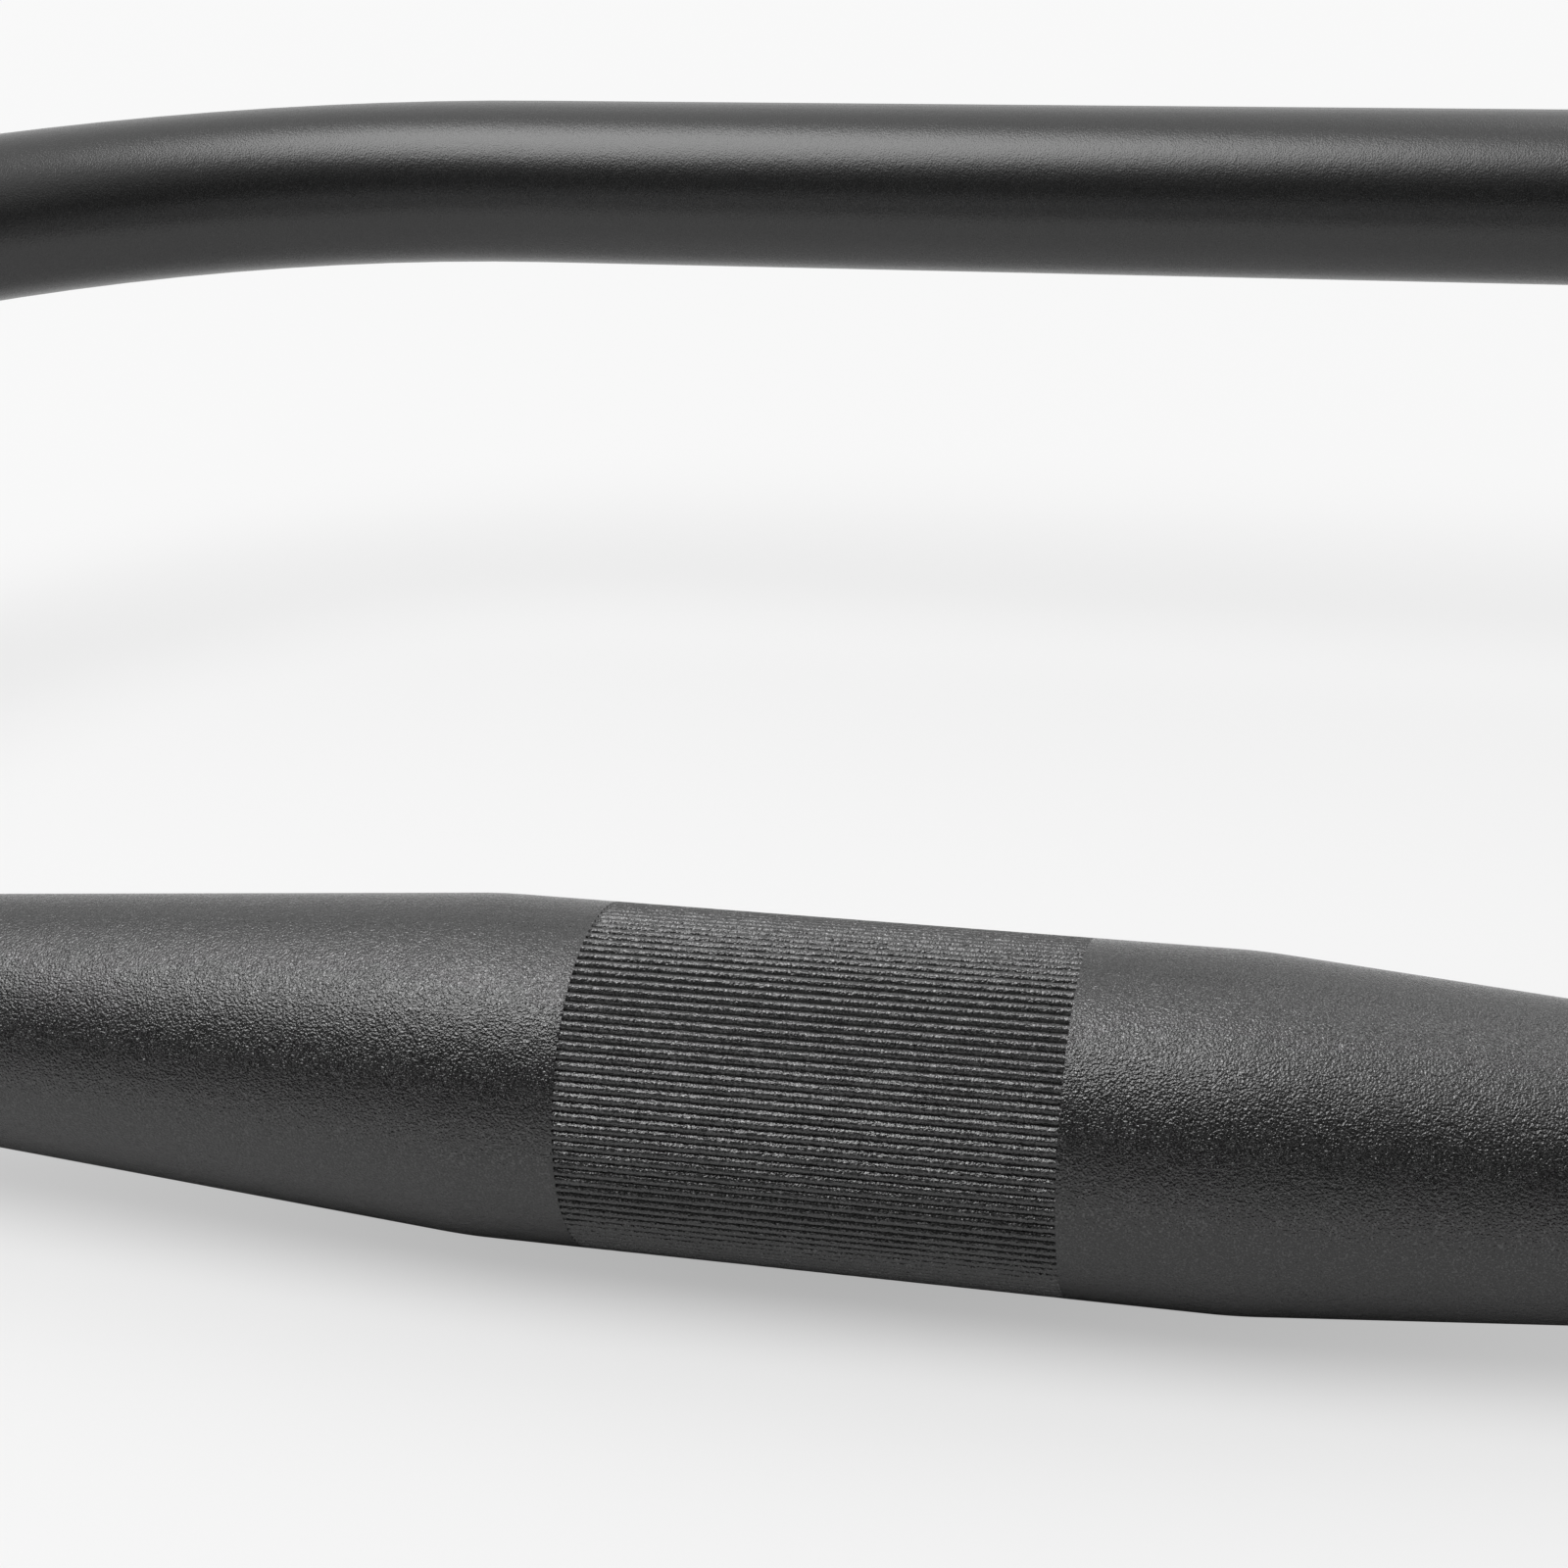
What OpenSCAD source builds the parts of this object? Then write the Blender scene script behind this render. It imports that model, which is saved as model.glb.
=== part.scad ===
/* [Stem clamp] */
// Diameter of the barrel that the stem clamps
clamp_d = 31.8; // [28:0.1:35]
// Length of the barrel at its full diameter
clamp_len = 67; // [56:1:90]
// Wall of the crossbar tube in the barrel
clamp_wall = 2.6; // [2:0.1:4]
// Length of the grooved band in the middle of the barrel
band_len = 44; // [20:1:50]
// Number of grooves round the barrel
groove_count = 110; // [60:2:120]
// Width of one groove at the surface
groove_w = 0.44; // [0.2:0.02:0.5]
// Depth of one groove
groove_depth = 0.22; // [0.1:0.02:0.4]

/* [Crossbar] */
// Diameter of the crossbar where it meets the loop tube
crossbar_d = 22.2; // [20:0.1:22.2]
// Wall of the crossbar tube past its tapers
crossbar_wall = 2; // [1.6:0.1:3]
// Length of each taper from the barrel to the plain tube
taper_len = 64; // [40:1:80]
// Radius that softens both ends of each taper
shoulder_r = 60; // [20:5:120]
// Plain straight length between each taper and its bend
bend_lead = 3; // [1:1:10]
// Height of the loop tube's axis above the clamp's axis
rise = 45; // [25:1:65]
// Centreline radius of the bend that starts each rise
rise_bend_r = 60; // [45:1:80]

/* [Loop tube] */
// Diameter of the loop tube, which takes grips and levers
loop_d = 22.2; // [22.2:0.1:25.4]
// Wall of the loop tube
loop_wall = 2; // [1.6:0.1:3]
// Distance from the clamp's axis forward to the front tube's axis
reach = 163; // [150:1:190]
// Straight length across the front
front_len = 156; // [120:2:200]
// Centreline radius of the two front bends
loop_bend_r = 106; // [70:1:120]
// Angle of the two front bends
loop_bend = 70; // [62:1:80]
// Straight length from each joint back to the rear bend
joint_lead = 26; // [24:1:50]
// Centreline radius of the two rear bends
grip_bend_r = 80; // [60:1:120]
// Angle that the grips sweep back from straight across
grip_sweep = 40; // [30:1:50]
// Straight length of each grip section
grip_len = 150; // [130:1:200]
// Chamfer on the edges of the open ends
end_chamfer = 0.5; // [0.2:0.1:0.8]

/* [Welded joints] */
// Gap that the mitred crossbar leaves at the loop tube
fit_gap = 0.1; // [0.05:0.05:0.3]
// Radius of the weld bead's section
bead_r = 2.6; // [2:0.1:3]
// Depth of the bead's centre under the crossbar's surface
bead_sink = 0.8; // [0.4:0.1:1.2]
// How far the bead swings clear of the true mitre line over the crown
bead_ease = 0.6; // [0.5:0.1:1]
// Diameter of the hole that vents the crossbar into the loop tube
vent_d = 5; // [3:0.5:8]

/* [Hidden] */
$fn = 180;

BLACK = "#2b2c2e";
WELD_BLACK = "#343537";

clamp_r = clamp_d / 2;
crossbar_r = crossbar_d / 2;
loop_r = loop_d / 2;
half_clamp = clamp_len / 2;
taper_end = half_clamp + taper_len;
bend_start = taper_end + bend_lead;

// Where the loop tube's arms cross the clamp's vertical plane
arm_drop = reach - loop_bend_r * (1 - cos(loop_bend));
arm_len = arm_drop / sin(loop_bend);
joint_x = front_len / 2 + loop_bend_r * sin(loop_bend) + arm_drop / tan(loop_bend);

// The crossbar's rise: one bend, then straight to the arm's axis
rise_run = joint_x - bend_start;
rise_straight = sqrt(pow(rise_run, 2) + pow(rise, 2) - 2 * rise_bend_r * rise);
rise_angle = atan2(rise - rise_bend_r, rise_run) + 90 - atan2(rise_straight, rise_bend_r);

// Moves of a tube in the bender, each [feed, roll, bend angle, bend radius]
rise_moves = [[0, 180, rise_angle, rise_bend_r], [rise_straight, 0, 0, 0]];
loop_moves = [
    [0, -90, loop_bend, loop_bend_r],
    [arm_len + joint_lead, 180, loop_bend - grip_sweep, grip_bend_r],
    [grip_len, 0, 0, 0],
];

past = 1;          // how far a cut runs past the face that it opens
collar = [0.5, 0.01];  // length and height of the faint collar that joins a bend to the next length
bead_rings = 72;   // sections along a weld bead
bead_sides = 12;   // corners of each section

// Arc of a bend that leaves the tube's axis at the origin, heads up Z and turns towards X
module bend(angle, radius, r) {
    translate([radius, 0, 0])
        rotate([0, 0, 180])
            rotate([90, 0, 0])
                rotate_extrude(angle = angle)
                    translate([radius, 0])
                        circle(r = r);
}

// Places its children at the far end of a run of moves
module at_end(moves, i = 0) {
    if (i == len(moves))
        children();
    else
        translate([0, 0, moves[i][0]])
            rotate([0, 0, moves[i][1]])
                translate([moves[i][3] * (1 - cos(moves[i][2])), 0, moves[i][3] * sin(moves[i][2])])
                    rotate([0, moves[i][2], 0])
                        at_end(moves, i + 1)
                            children();
}

// Solid rod of radius r that follows a run of moves, and runs on past its end by over
module run(moves, r, over = 0, i = 0) {
    if (i < len(moves)) {
        feed = moves[i][0];
        angle = moves[i][2];
        radius = moves[i][3];
        last = i == len(moves) - 1;
        if (feed > 0)
            cylinder(h = feed + (last ? over : 0), r = r);
        translate([0, 0, feed])
            rotate([0, 0, moves[i][1]]) {
                if (angle > 0)
                    bend(angle, radius, r);
                translate([radius * (1 - cos(angle)), 0, radius * sin(angle)])
                    rotate([0, angle, 0]) {
                        if (!last)
                            cylinder(h = collar[0], r = r + collar[1], center = true);
                        run(moves, r, over, i + 1);
                    }
            }
    }
}

module both_sides() {
    children();
    mirror([1, 0, 0])
        children();
}

// Start of the right-hand rise, heading out along X
module from_taper() {
    translate([bend_start, 0, 0])
        rotate([0, 90, 0])
            children();
}

// Start of the right-hand front bend, heading out along X
module from_front() {
    translate([front_len / 2, reach, rise])
        rotate([0, 90, 0])
            children();
}

// Centre of the right-hand joint, heading back down the crossbar
module at_joint() {
    translate([joint_x, 0, rise])
        rotate([0, -90 - rise_angle, 0])
            children();
}

// Corner at [x, y] between two slopes, as points of an arc of radius r
function eased(x, y, slope_in, slope_out, r) =
    let (
        a0 = atan(slope_in),
        a1 = atan(slope_out),
        cut = r * tan(abs(a1 - a0) / 2),
        side = a1 > a0 ? 1 : -1,
        start = [x - cut * cos(a0), y - cut * sin(a0)],
        centre = start + side * r * [-sin(a0), cos(a0)],
        steps = 6
    )
    [for (i = [0 : steps])
        let (a = a0 + (a1 - a0) * i / steps)
        centre - side * r * [-sin(a), cos(a)]];

// Half profile of the barrel and taper, [distance from the middle, radius]
function taper_profile(r_clamp, r_end) =
    let (slope = (r_end - r_clamp) / taper_len)
    concat(
        [[0, r_clamp]],
        eased(half_clamp, r_clamp, 0, slope, shoulder_r),
        eased(taper_end, r_end, slope, 0, shoulder_r),
        [[bend_start, r_end]]
    );

// Round bar through the barrel and both tapers, along X
module barrel(r_clamp, r_end) {
    half = taper_profile(r_clamp, r_end);
    count = len(half);
    right = [for (p = half) [p[1], p[0]]];
    left = [for (i = [count - 1 : -1 : 1]) [half[i][1], -half[i][0]]];
    rotate([0, 90, 0])
        rotate_extrude()
            polygon(concat([[0, -bend_start]], left, right, [[0, bend_start]]));
}

// The V grooves of the clamp band, straight and parallel to the clamp's axis
module grooves() {
    half = groove_w / 2;
    top = groove_depth + past;
    rotate([0, 90, 0])
        for (i = [0 : groove_count - 1])
            rotate([0, 0, i * 360 / groove_count])
                translate([clamp_r - groove_depth, 0, -band_len / 2])
                    linear_extrude(height = band_len)
                        polygon([[0, 0], [groove_depth, -half], [top, -half], [top, half], [groove_depth, half]]);
}

// The whole arm and front of the loop tube as a solid rod
module loop_rod(r, over = 0) {
    translate([-front_len / 2, reach, rise])
        rotate([0, 90, 0])
            cylinder(h = front_len, r = r);
    both_sides()
        from_front()
            run(loop_moves, r, over);
}

// The straight arm of the right side, long enough to pass the joint both ways
module arm_rod(r) {
    half = 2 * loop_d;
    translate([joint_x, 0, rise])
        rotate([0, 0, -loop_bend])
            rotate([0, 90, 0])
                translate([0, 0, -half])
                    cylinder(h = 2 * half, r = r);
}

module crossbar() {
    color(BLACK)
        difference() {
            union() {
                barrel(clamp_r, crossbar_r);
                both_sides()
                    from_taper()
                        run(rise_moves, crossbar_r);
            }
            barrel(clamp_r - clamp_wall, crossbar_r - crossbar_wall);
            both_sides()
                from_taper()
                    run(rise_moves, crossbar_r - crossbar_wall);
            both_sides()
                arm_rod(loop_r + fit_gap);
            grooves();
        }
}

// Ring that takes the outer edge off an open end, or the inner edge if it flares in
module end_cut(r, outward) {
    edge = end_chamfer + past;
    side = outward ? 1 : -1;
    rotate_extrude()
        polygon([
            [r - side * end_chamfer, 0],
            [r + side * past, -edge],
            [r + side * past, past],
            [r - side * end_chamfer, past],
        ]);
}

module loop_tube() {
    color(BLACK)
        difference() {
            loop_rod(loop_r);
            loop_rod(loop_r - loop_wall, past);
            both_sides() {
                from_front()
                    at_end(loop_moves) {
                        end_cut(loop_r, true);
                        end_cut(loop_r - loop_wall, false);
                    }
                at_joint()
                    cylinder(h = loop_r + past, d = vent_d);
            }
        }
}

function unit(v) = v / norm(v);

// Point of the joint line at angle t round the right-hand end of the crossbar
function joint_point(t) =
    let (
        along = [-cos(rise_angle), 0, -sin(rise_angle)],
        arm = [cos(loop_bend), -sin(loop_bend), 0],
        y = [0, 1, 0],
        ring = crossbar_r - bead_sink,
        wall = loop_r + bead_ease,
        out = ring * (cos(t) * y + sin(t) * cross(along, y)),
        k = along * arm,
        m = out * arm,
        root = sqrt(pow(k * m, 2) - (1 - k * k) * (ring * ring - m * m - wall * wall)),
        s = (k * m + root) / (1 - k * k)
    )
    [joint_x, 0, rise] + s * along + out;

// Section of the bead at angle t, square to the joint line
function bead_section(t) =
    let (
        h = 180 / bead_rings,
        centre = joint_point(t),
        tangent = unit(joint_point(t + h) - joint_point(t - h)),
        out = centre - [joint_x, 0, rise],
        n = unit(out - (out * tangent) * tangent),
        b = cross(tangent, n)
    )
    [for (j = [0 : bead_sides - 1])
        let (a = j * 360 / bead_sides)
        centre + bead_r * (cos(a) * n + sin(a) * b)];

// Round bead swept once round the joint line
module bead_ring() {
    points = [for (i = [0 : bead_rings - 1]) each bead_section(i * 360 / bead_rings)];
    faces = [
        for (i = [0 : bead_rings - 1], j = [0 : bead_sides - 1])
            let (
                p = i * bead_sides + j,
                q = i * bead_sides + (j + 1) % bead_sides,
                r = ((i + 1) % bead_rings) * bead_sides + (j + 1) % bead_sides,
                s = ((i + 1) % bead_rings) * bead_sides + j
            )
            each [[p, q, r], [p, r, s]]
    ];
    polyhedron(points = points, faces = faces);
}

module right_bead() {
    difference() {
        bead_ring();
        at_joint()
            cylinder(h = 2 * loop_d, r = crossbar_r);
        arm_rod(loop_r);
    }
}

module left_weld_bead() {
    color(WELD_BLACK)
        mirror([1, 0, 0])
            right_bead();
}

module right_weld_bead() {
    color(WELD_BLACK)
        right_bead();
}

crossbar();
loop_tube();
left_weld_bead();
right_weld_bead();
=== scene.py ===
import math

import bpy
import numpy
from mathutils import Matrix, Vector, noise


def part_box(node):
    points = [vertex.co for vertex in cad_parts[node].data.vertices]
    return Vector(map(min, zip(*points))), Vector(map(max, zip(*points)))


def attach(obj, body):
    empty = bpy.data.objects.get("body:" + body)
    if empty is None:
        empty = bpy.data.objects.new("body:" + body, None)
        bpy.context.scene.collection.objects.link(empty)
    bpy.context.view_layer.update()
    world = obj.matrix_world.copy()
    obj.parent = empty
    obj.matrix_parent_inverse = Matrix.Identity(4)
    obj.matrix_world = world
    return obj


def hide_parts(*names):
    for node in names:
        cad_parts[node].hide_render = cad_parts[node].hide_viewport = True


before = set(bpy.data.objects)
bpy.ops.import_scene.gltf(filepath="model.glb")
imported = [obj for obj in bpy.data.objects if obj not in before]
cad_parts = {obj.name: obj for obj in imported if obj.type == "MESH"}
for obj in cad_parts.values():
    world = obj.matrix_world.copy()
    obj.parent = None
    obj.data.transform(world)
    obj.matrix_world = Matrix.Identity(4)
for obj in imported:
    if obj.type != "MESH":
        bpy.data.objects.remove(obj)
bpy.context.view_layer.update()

scene = bpy.context.scene


# The camera stands close behind and above the clamp, on the rider's side, and looks forward and down.
# Its lens is a short telephoto, near enough for the two tubes to differ in scale.
EYE = Vector((0.0533, -0.2170, 0.1321))
TURN_LEFT = math.radians(14.78)
LOOK_DOWN = math.radians(24.34)
ROLL = math.radians(-2.45)
LENS_MM = 65.62
NEAREST = 0.01

camera = bpy.data.objects.new("camera", bpy.data.cameras.new("camera"))
scene.collection.objects.link(camera)
camera.data.lens = LENS_MM
camera.data.clip_start = NEAREST
aim = Matrix.Rotation(TURN_LEFT, 4, "Z") @ Matrix.Rotation(math.pi / 2 - LOOK_DOWN, 4, "X")
camera.matrix_world = Matrix.Translation(EYE) @ aim @ Matrix.Rotation(ROLL, 4, "Z")
scene.camera = camera


# The floor is a pale matt sheet that the clamp barrel just touches, and it keeps the bar's soft shadow.
# The camera sees it lifted towards white, and further off it fades into the white of the backdrop.
FLOOR_SIZE = 6.0
FLOOR_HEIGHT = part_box("crossbar")[0].z
FLOOR_GREY = "#cecece"
FLOOR_LIT = 0.58  # the share of the sheet's own light at the clamp, the rest is backdrop white
FLOOR_FADE = 0.30  # metres from the clamp to where that share has dropped to about a third
BACKDROP_WHITE = "#fafafa"


def linear(hex_colour):
    """An sRGB hex colour as the linear RGBA that a socket takes."""
    values = [int(hex_colour[i:i + 2], 16) / 255 for i in (1, 3, 5)]
    return [v / 12.92 if v <= 0.04045 else ((v + 0.055) / 1.055) ** 2.4 for v in values] + [1.0]


def add(tree, kind, settings=None, **inputs):
    """One node with its settings, and its inputs set to values or linked to outputs."""
    node = tree.nodes.new(kind)
    for name, value in (settings or {}).items():
        setattr(node, name, value)
    for name, value in inputs.items():
        socket = node.inputs[int(name[2:])] if name.startswith("in") else node.inputs[name.replace("_", " ")]
        if isinstance(value, bpy.types.NodeSocket):
            tree.links.new(value, socket)
        else:
            socket.default_value = value
    return node


bpy.ops.object.select_all(action="DESELECT")
bpy.ops.mesh.primitive_plane_add(size=FLOOR_SIZE, location=(0, 0, 0))
floor = bpy.context.object
floor.name = "floor"
floor.data.transform(Matrix.Translation((0, 0, FLOOR_HEIGHT)))

floor_paint = bpy.data.materials.new("pale_studio_sheet")
floor_paint.use_nodes = True
tree = floor_paint.node_tree
tree.nodes.clear()
paths = add(tree, "ShaderNodeLightPath")
sheet = add(tree, "ShaderNodeBsdfDiffuse", Color=linear(FLOOR_GREY))
glow = add(tree, "ShaderNodeEmission", Color=linear(BACKDROP_WHITE), Strength=1.0)
place = add(tree, "ShaderNodeTexCoord")
far = add(tree, "ShaderNodeVectorMath", {"operation": "LENGTH"}, in0=place.outputs["Object"])
fade = add(tree, "ShaderNodeMath", {"operation": "DIVIDE"}, in0=far.outputs["Value"], in1=-FLOOR_FADE)
near = add(tree, "ShaderNodeMath", {"operation": "EXPONENT"}, in0=fade.outputs[0])
white = add(tree, "ShaderNodeMath", {"operation": "MULTIPLY_ADD"},
            in0=near.outputs[0], in1=-FLOOR_LIT, in2=1.0)
lift = add(tree, "ShaderNodeMath", {"operation": "MULTIPLY"},
           in0=paths.outputs["Is Camera Ray"], in1=white.outputs[0])
mixed = add(tree, "ShaderNodeMixShader", in0=lift.outputs[0], in1=sheet.outputs[0], in2=glow.outputs[0])
add(tree, "ShaderNodeOutputMaterial", Surface=mixed.outputs[0])
floor.data.materials.append(floor_paint)


# A large round softbox hangs above the bar, a little to the left, and a small fill lamp hangs beyond
# the loop on the right. The room is white ahead and above, and dim below and behind the camera.
SOFTBOX_PLACE = Vector((-0.38, -0.19, 1.0))
SOFTBOX_WIDTH = 0.92
SOFTBOX_WATTS = 10.0
FILL_PLACE = Vector((0.40, 0.62, 0.74))
FILL_WIDTH = 0.60
FILL_WATTS = 1.7
ROOM_WHITE = 1.0
ROOM_DIM = 0.03
ROOM_AHEAD = 0.75
ROOM_ABOVE = 0.65
DIM_BELOW = -0.38
WHITE_ABOVE = 0.65


def hang_lamp(name, place, width, watts):
    """A round area lamp that faces the clamp."""
    lamp = bpy.data.objects.new(name, bpy.data.lights.new(name, "AREA"))
    scene.collection.objects.link(lamp)
    lamp.data.shape = "DISK"
    lamp.data.size = width
    lamp.data.energy = watts
    aim = (-place).to_track_quat("-Z", "Y").to_matrix().to_4x4()
    lamp.matrix_world = Matrix.Translation(place) @ aim


hang_lamp("softbox", SOFTBOX_PLACE, SOFTBOX_WIDTH, SOFTBOX_WATTS)
hang_lamp("fill_lamp", FILL_PLACE, FILL_WIDTH, FILL_WATTS)

room = bpy.data.worlds.new("room")
scene.world = room
room.use_nodes = True
tree = room.node_tree
tree.nodes.clear()
paths = add(tree, "ShaderNodeLightPath")
way = add(tree, "ShaderNodeTexCoord")
parts = add(tree, "ShaderNodeSeparateXYZ", in0=way.outputs["Generated"])
ahead = add(tree, "ShaderNodeMath", {"operation": "MULTIPLY"}, in0=parts.outputs["Y"], in1=ROOM_AHEAD)
height = add(tree, "ShaderNodeMath", {"operation": "MULTIPLY_ADD"},
             in0=parts.outputs["Z"], in1=ROOM_ABOVE, in2=ahead.outputs[0])
ramp = add(tree, "ShaderNodeMapRange", {"interpolation_type": "SMOOTHSTEP"}, Value=height.outputs[0],
           From_Min=DIM_BELOW, From_Max=WHITE_ABOVE, To_Min=ROOM_DIM, To_Max=ROOM_WHITE)
seen = add(tree, "ShaderNodeMath", {"operation": "MAXIMUM"},
           in0=ramp.outputs[0], in1=paths.outputs["Is Camera Ray"])
light = add(tree, "ShaderNodeBackground", Color=linear(BACKDROP_WHITE), Strength=seen.outputs[0])
add(tree, "ShaderNodeOutputWorld", Surface=light.outputs[0])
scene.view_settings.view_transform = "Standard"


# The crossbar is one aluminium tube, swaged down from the clamp barrel to the tube size at both
# sides, bent up once at each side and mitred to the loop tube. The clamp band is grooved lengthways,
# and then the whole tube is shot-blasted and black anodised, which rounds the lands of the band.
MM = 0.001
CLAMP_R = 15.9 * MM
PLAIN_END = 26.0 * MM
SHOULDER_AT = {1: 36.5 * MM, -1: 33.5 * MM}  # the right shoulder starts further out, as the photo shows
SHOULDER_R = 60.0 * MM
TAPER_END = 97.5 * MM
TUBE_R = 11.1 * MM
TUBE_WALL = 2.0 * MM
BEND_LEAD = 3.0 * MM
BEND_R = 60.0 * MM
RISE = 45.0 * MM
JOINT = Vector((211.549 * MM, 0, RISE))
ARM_ANGLE = math.radians(70)
FIT_GAP = 0.1 * MM
MITRE_ROOM = 24.0 * MM
MITRE_LEAD = 6.0 * MM
BORE_DEPTH = 12.0 * MM
PLAIN_SIDES = 110
SHOULDER_STEPS = 6
CONE_STEPS = 8
BEND_STEPS = 12
STRAIGHT_STEPS = 6

BAND_HALF = 22.0 * MM
RUN_OUT = 0.05 * MM
LEDGE = 0.6 * MM
LEDGE_REACH = 1.0 * MM
BAND_RINGS = 76
GROOVES = 110
# Across one groove, in mm: the distance from its middle and the depth there.
GROOVE_PROFILE = ((0.0, 0.31), (0.07, 0.205), (0.15, 0.125), (0.25, 0.058), (0.35, 0.015))
CORNERS_PER_PITCH = 2 * len(GROOVE_PROFILE)
GROOVE_REACH = 0.4
SWERVE_MM = 0.052
UNEVEN_DEPTH = 0.26
BLASTED_MM = 0.020
# How fast a groove's swerve and its depth vary: per mm along it, from groove to groove and from
# corner to corner. The last number only sets the two apart.
SWERVE_CHANGE = (1.1, 7.3, 0.35, 4.0)
DEPTH_CHANGE = (1.3, 5.1, 0.5, 9.0)
MERGE = 1e-7
CREASE = math.radians(62)


def new_ring(name, corners, radius, x):
    """An open ring of corners round the clamp's axis, left in edit mode with all of it selected."""
    bpy.ops.object.select_all(action="DESELECT")
    bpy.ops.mesh.primitive_circle_add(vertices=corners, radius=radius, rotation=(0, math.pi / 2, 0))
    piece = bpy.context.object
    piece.name = name
    bpy.ops.object.transform_apply(location=False, rotation=True, scale=False)
    bpy.ops.object.mode_set(mode="EDIT")
    bpy.ops.mesh.select_mode(type="VERT")
    bpy.ops.mesh.select_all(action="SELECT")
    bpy.ops.transform.translate(value=(x, 0, 0))
    return piece


def push(move):
    """Extrudes the selected ring by a move and leaves the new ring selected."""
    bpy.ops.mesh.extrude_region_move(TRANSFORM_OT_translate={"value": move})


def places(piece):
    """The corners of a mesh as rows of x, y, z."""
    flat = numpy.empty(len(piece.data.vertices) * 3)
    piece.data.vertices.foreach_get("co", flat)
    return flat.reshape(-1, 3)


def put(piece, rows):
    """Writes the corners of a mesh back."""
    piece.data.vertices.foreach_set("co", rows.ravel())
    piece.data.update()


def choose(piece, chosen):
    """Leaves edit mode selected on those corners only; chosen is one true or false for each."""
    bpy.ops.mesh.select_all(action="DESELECT")
    bpy.ops.object.mode_set(mode="OBJECT")
    piece.data.vertices.foreach_set("select", chosen)
    bpy.ops.object.mode_set(mode="EDIT")


def join_same(piece):
    """Joins the corners of a piece that lie on each other."""
    merge = piece.modifiers.new("merge", "WELD")
    merge.merge_threshold = MERGE
    bpy.ops.object.modifier_apply(modifier=merge.name)


def eased(x, y, slope_in, slope_out):
    """A corner between two slopes as points on an arc of the shoulder's radius."""
    a0, a1 = math.atan(slope_in), math.atan(slope_out)
    cut = SHOULDER_R * math.tan(abs(a1 - a0) / 2)
    reach = SHOULDER_R if a1 > a0 else -SHOULDER_R
    centre_x = x - cut * math.cos(a0) - reach * math.sin(a0)
    centre_y = y - cut * math.sin(a0) + reach * math.cos(a0)
    turns = [a0 + (a1 - a0) * i / SHOULDER_STEPS for i in range(SHOULDER_STEPS + 1)]
    return [(centre_x + reach * math.sin(a), centre_y - reach * math.cos(a)) for a in turns]


bend_start = TAPER_END + BEND_LEAD


def taper_rings(clamp_end):
    """Places and radii along one side of the barrel, from its plain part to the start of the bend."""
    slope = (TUBE_R - CLAMP_R) / (TAPER_END - clamp_end)
    shoulder = eased(clamp_end, CLAMP_R, 0, slope)
    foot = eased(TAPER_END, TUBE_R, slope, 0)
    (x0, r0), (x1, r1) = shoulder[-1], foot[0]
    cone = [(x0 + (x1 - x0) * i / CONE_STEPS, r0 + (r1 - r0) * i / CONE_STEPS)
            for i in range(1, CONE_STEPS)]
    return [(PLAIN_END, CLAMP_R)] + shoulder + cone + foot + [(bend_start, TUBE_R)]


run = JOINT.x - bend_start
straight = math.sqrt(run ** 2 + RISE ** 2 - 2 * BEND_R * RISE)
rise_angle = math.atan2(RISE - BEND_R, run) + math.pi / 2 - math.atan2(straight, BEND_R)
out = Vector((math.cos(rise_angle), 0, math.sin(rise_angle)))


def along_to_arm(radial, wall):
    """How far from the joint's centre, back down the crossbar, a line at radial meets the loop tube."""
    back = -out
    arm = Vector((math.cos(ARM_ANGLE), -math.sin(ARM_ANGLE), 0))
    k, m = back.dot(arm), radial.dot(arm)
    inside = (k * m) ** 2 - (1 - k * k) * (radial.length_squared - m * m - wall * wall)
    return (k * m + math.sqrt(max(0.0, inside))) / (1 - k * k)


def mitre(piece, radius):
    """Slides the selected ring along the crossbar to fit round the loop tube, at a new radius."""
    bpy.ops.object.mode_set(mode="OBJECT")
    for corner in piece.data.vertices:
        if corner.select:
            radial = (corner.co - JOINT) - (corner.co - JOINT).dot(out) * out
            radial *= radius / radial.length
            corner.co = JOINT + radial - out * along_to_arm(radial, TUBE_R + FIT_GAP)
    bpy.ops.object.mode_set(mode="EDIT")


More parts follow.
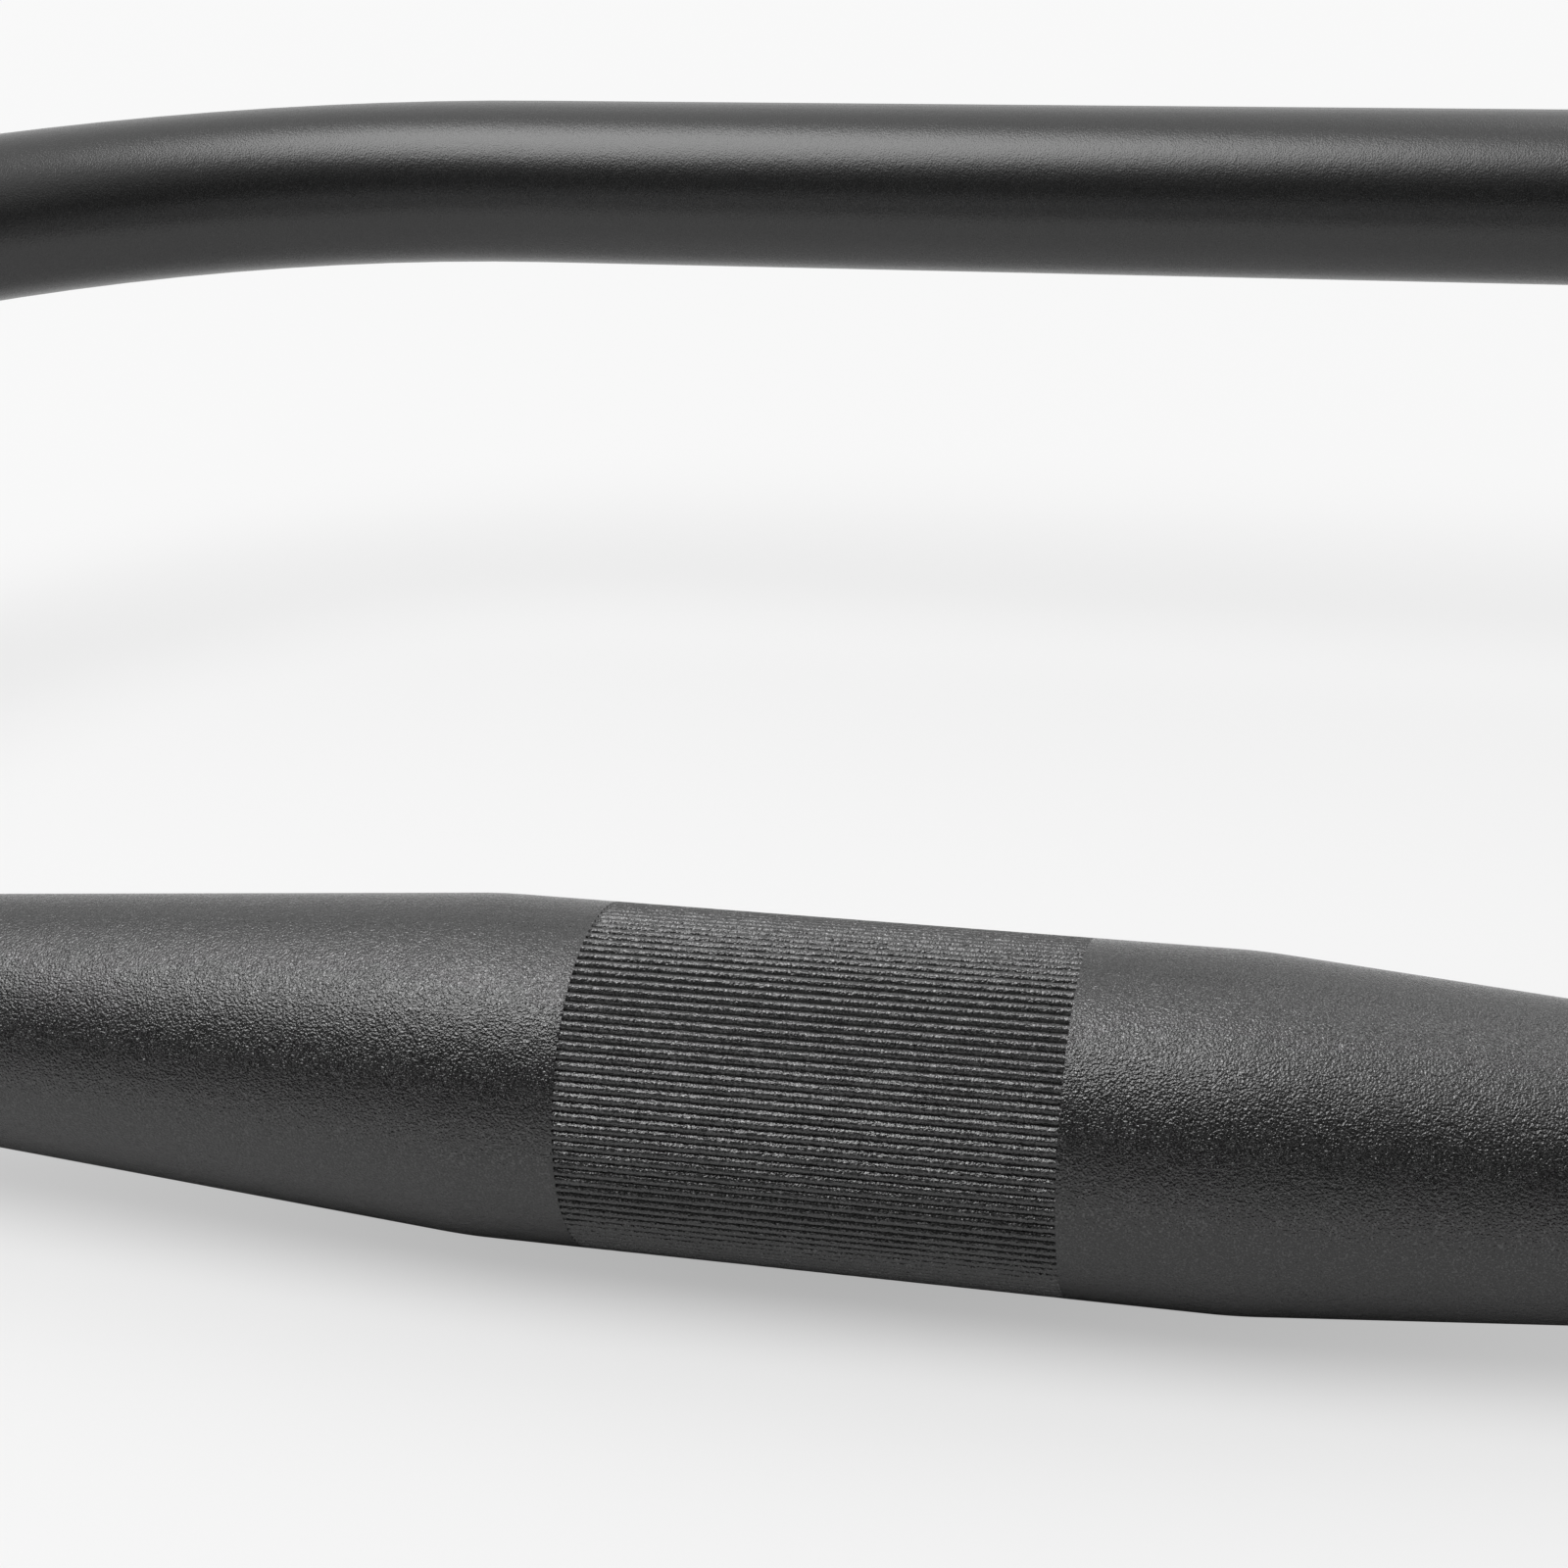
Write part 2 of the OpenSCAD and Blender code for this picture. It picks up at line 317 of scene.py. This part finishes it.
tube_sides = []
for way in (1, -1):
    x, radius = BAND_HALF + LEDGE, CLAMP_R
    tube_side = new_ring("tube_side", PLAIN_SIDES, radius, x)
    for next_x, next_radius in taper_rings(SHOULDER_AT[way]):
        push((next_x - x, 0, 0))
        scale = next_radius / radius
        bpy.ops.transform.resize(value=(1, scale, scale), center_override=(next_x, 0, 0))
        x, radius = next_x, next_radius
    bpy.ops.mesh.spin(steps=BEND_STEPS, angle=rise_angle, center=(bend_start, 0, BEND_R), axis=(0, 1, 0))
    for i in range(STRAIGHT_STEPS):
        push(out * (straight - MITRE_ROOM) / STRAIGHT_STEPS)
    push(out * MITRE_LEAD)
    mitre(tube_side, TUBE_R)
    push((0, 0, 0))
    mitre(tube_side, TUBE_R - TUBE_WALL)
    push(-out * BORE_DEPTH)
    bpy.ops.mesh.edge_face_add()
    bpy.ops.object.mode_set(mode="OBJECT")

    new_ring("groove_end", GROOVES * CORNERS_PER_PITCH, CLAMP_R, BAND_HALF)
    push((RUN_OUT, 0, 0))
    bpy.ops.object.mode_set(mode="OBJECT")
    tube_side.select_set(True)
    bpy.context.view_layer.objects.active = tube_side
    bpy.ops.object.join()
    bpy.ops.object.mode_set(mode="EDIT")
    rows = places(tube_side)
    choose(tube_side, (rows[:, 0] > BAND_HALF + RUN_OUT / 2) & (rows[:, 0] < BAND_HALF + LEDGE_REACH))
    bpy.ops.mesh.bridge_edge_loops()
    bpy.ops.mesh.select_all(action="SELECT")
    bpy.ops.transform.resize(value=(way, 1, 1), center_override=(0, 0, 0))
    bpy.ops.mesh.normals_make_consistent(inside=False)
    bpy.ops.object.mode_set(mode="OBJECT")
    tube_sides.append(tube_side)

crossbar = new_ring("crossbar_tube", GROOVES * CORNERS_PER_PITCH, CLAMP_R, -BAND_HALF)
bpy.ops.object.mode_set(mode="OBJECT")
sweep = crossbar.modifiers.new("sweep", "SCREW")
sweep.axis = "X"
sweep.angle = 0
sweep.screw_offset = 2 * BAND_HALF
sweep.steps = sweep.render_steps = BAND_RINGS
bpy.ops.object.modifier_apply(modifier=sweep.name)
first_face = crossbar.data.polygons[0]
if first_face.normal.dot(Vector((0, *first_face.center.yz))) < 0:
    crossbar.data.flip_normals()
for tube_side in tube_sides:
    tube_side.select_set(True)
bpy.ops.object.join()
join_same(crossbar)


def unevenness(x, groove, corner, change):
    """A smooth random number between about -1 and 1 for a corner of a groove."""
    per_mm, per_groove, per_corner, apart = change
    return noise.noise((x / MM * per_mm, groove * per_groove + corner * per_corner, apart))


pitch = math.tau / GROOVES
profile = [(sign * at, depth) for at, depth in GROOVE_PROFILE for sign in ((-1, 1) if at else (1,))]
profile = sorted(profile) + [(pitch * CLAMP_R / MM / 2, 0.0)]
rows = places(crossbar)
for i in numpy.nonzero(abs(rows[:, 0]) < BAND_HALF + RUN_OUT / 2)[0]:
    x, y, z = rows[i]
    groove, corner = divmod(round(math.atan2(z, y) / (pitch / CORNERS_PER_PITCH)), CORNERS_PER_PITCH)
    at, depth = profile[corner]
    swerve = SWERVE_MM * unevenness(x, groove, corner, SWERVE_CHANGE) * (at < GROOVE_REACH)
    sink = unevenness(x, groove, corner, DEPTH_CHANGE)
    angle = (groove + 0.5) * pitch + (at + swerve) * MM / CLAMP_R
    radius = CLAMP_R - (depth * (1 + UNEVEN_DEPTH * sink) + BLASTED_MM * abs(sink)) * MM
    rows[i] = x, radius * math.cos(angle), radius * math.sin(angle)
put(crossbar, rows)
bpy.ops.object.shade_smooth_by_angle(angle=CREASE)

# Shot-blasting leaves a fine grain of dents, and the dyed oxide over it is nearly black and satin.
# The sharpest crests keep only a thin oxide, so bright metal glints through in specks.
BLASTED_BLACK = "#0d0d0d"
BLASTED_GREY = "#1b1b1b"
MILLED_GREY = "#343434"
BARE_CREST = "#595959"
GRAIN = 0.22 * MM
PATCH = 1.4 * MM
CREST = 0.17 * MM
PATCH_DENTS = 0.7
CREST_FROM = 0.48
CREST_FULL = 0.74
CREST_POLISH = 0.12
OXIDE_IOR = 1.6


def blasted_black(name, dent_mm, roughness, glint, grey):
    """The blasted and black anodised finish: the height of its dents, how rough the oxide is between
    them, how much bare metal the crests show, and the paler of the dye's two greys."""
    finish = bpy.data.materials.new(name)
    finish.use_nodes = True
    tree = finish.node_tree
    tree.nodes.clear()
    place = add(tree, "ShaderNodeTexCoord")
    grain = add(tree, "ShaderNodeTexNoise", {"noise_dimensions": "3D"}, Vector=place.outputs["Object"],
                Scale=1 / GRAIN, Detail=1.0, Roughness=0.5)
    patches = add(tree, "ShaderNodeTexNoise", {"noise_dimensions": "3D"}, Vector=place.outputs["Object"],
                  Scale=1 / PATCH, Detail=2.0, Roughness=0.6)
    crests = add(tree, "ShaderNodeTexNoise", {"noise_dimensions": "3D"}, Vector=place.outputs["Object"],
                 Scale=1 / CREST, Detail=0.0)
    speck = add(tree, "ShaderNodeMapRange", {"interpolation_type": "SMOOTHSTEP"},
                Value=crests.outputs["Fac"], From_Min=CREST_FROM, From_Max=CREST_FULL,
                To_Min=0.0, To_Max=glint)
    polish = add(tree, "ShaderNodeMapRange", {"interpolation_type": "SMOOTHSTEP"},
                 Value=crests.outputs["Fac"], From_Min=CREST_FROM, From_Max=CREST_FULL,
                 To_Min=roughness, To_Max=roughness - CREST_POLISH * glint)
    dye = add(tree, "ShaderNodeMix", {"data_type": "RGBA"},
              in0=patches.outputs["Fac"], in6=linear(BLASTED_BLACK), in7=linear(grey))
    colour = add(tree, "ShaderNodeMix", {"data_type": "RGBA"},
                 in0=speck.outputs["Result"], in6=dye.outputs[2], in7=linear(BARE_CREST))
    dents = add(tree, "ShaderNodeMath", {"operation": "MULTIPLY_ADD"},
                in0=patches.outputs["Fac"], in1=PATCH_DENTS, in2=grain.outputs["Fac"])
    bump = add(tree, "ShaderNodeBump", Strength=1.0, Distance=dent_mm * MM, Height=dents.outputs[0])
    shader = add(tree, "ShaderNodeBsdfPrincipled", Base_Color=colour.outputs[2],
                 Metallic=speck.outputs["Result"], Roughness=polish.outputs["Result"],
                 IOR=OXIDE_IOR, Normal=bump.outputs[0])
    add(tree, "ShaderNodeOutputMaterial", Surface=shader.outputs[0])
    return finish


# The plain tube is satin and almost black. The band is a little glossier and paler, because its
# freshly cut metal takes less dye.
plain_black = blasted_black("blasted_black_anodised_aluminium", 0.12, 0.22, 1.0, BLASTED_GREY)
band_black = blasted_black("milled_and_blasted_black_aluminium", 0.10, 0.19, 1.0, MILLED_GREY)
crossbar.data.materials.append(plain_black)
crossbar.data.materials.append(band_black)
faces_at = numpy.array([abs(face.center.x) for face in crossbar.data.polygons])
crossbar.data.polygons.foreach_set("material_index", (faces_at < BAND_HALF).astype(numpy.int32))
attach(crossbar, "root")
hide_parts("crossbar")


# The loop tube is the same aluminium, bent at four places from one straight length. It is blasted
# with a finer shot and anodised together with the crossbar, so its grain hardly shows.
fine_black = blasted_black("fine_blasted_black_aluminium", 0.035, 0.30, 0.3, BLASTED_GREY)
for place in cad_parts["loop_tube"].material_slots:
    place.material = fine_black


# The weld beads are laid by hand round both joints, in short overlapping puddles, and are blasted
# and anodised with the tubes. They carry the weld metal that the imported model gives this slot, which
# is one plain dark grey with no grain of its own.
BEAD_ACROSS = 3.0 * MM
BEAD_CLEAR = 1.9 * MM
BEAD_SINK = 0.8 * MM
BEAD_EASE = 0.6 * MM
BEAD_STEPS = 480
BEAD_SIDES = 20
BEAD_CREASE = math.radians(50)
PUDDLES = 46
PUDDLE_SWELL = 0.16 * MM
PUDDLE_BOW = 0.35
PUDDLE_ROUND = 0.6
PUDDLE_VALLEY = 0.6
HAND_WANDER = 0.10 * MM


def joint_point(t):
    """A point of the line where the crossbar's skin meets the loop tube, at a turn round the crossbar."""
    back = -out
    radial = math.cos(t) * Vector((0, 1, 0)) + math.sin(t) * back.cross(Vector((0, 1, 0)))
    ring = (TUBE_R - BEAD_SINK) * radial
    return JOINT + ring + back * along_to_arm(ring, TUBE_R + BEAD_EASE)


for name, way in (("right_weld_bead", 1), ("left_weld_bead", -1)):
    bpy.ops.object.select_all(action="DESELECT")
    bpy.ops.mesh.primitive_grid_add(x_subdivisions=BEAD_STEPS, y_subdivisions=BEAD_SIDES, size=BEAD_ACROSS)
    bead = bpy.context.object
    bead.name = name + "_laid"
    rows = places(bead)
    step = math.tau / BEAD_STEPS
    for i in range(BEAD_STEPS + 1):
        t = (i % BEAD_STEPS) * step
        centre = joint_point(t)
        along = (joint_point(t + step) - joint_point(t - step)).normalized()
        clear = centre - JOINT
        clear = (clear - clear.dot(along) * along).normalized()
        across = along.cross(clear)
        for j in range(BEAD_SIDES + 1):
            a = math.tau * (j % BEAD_SIDES) / BEAD_SIDES
            beat = (t * PUDDLES / math.tau - PUDDLE_BOW * math.sin(a) ** 2) % 1.0
            swell = PUDDLE_SWELL * (math.sin(math.pi * beat) ** PUDDLE_ROUND - PUDDLE_VALLEY)
            wander = HAND_WANDER * noise.noise((3 * math.cos(t), 3 * math.sin(t), way * 5.0))
            point = centre + (BEAD_CLEAR + swell + wander) * math.cos(a) * clear
            point += (BEAD_ACROSS + swell + wander) * math.sin(a) * across
            rows[j * (BEAD_STEPS + 1) + i] = way * point.x, point.y, point.z
    put(bead, rows)
    join_same(bead)
    bpy.ops.object.mode_set(mode="EDIT")
    bpy.ops.mesh.select_all(action="SELECT")
    bpy.ops.mesh.normals_make_consistent(inside=False)
    bpy.ops.object.mode_set(mode="OBJECT")
    bpy.ops.object.shade_smooth_by_angle(angle=BEAD_CREASE)
    bead.data.materials.append(bpy.data.materials["black_weld_metal"])
    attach(bead, "root")
    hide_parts(name)
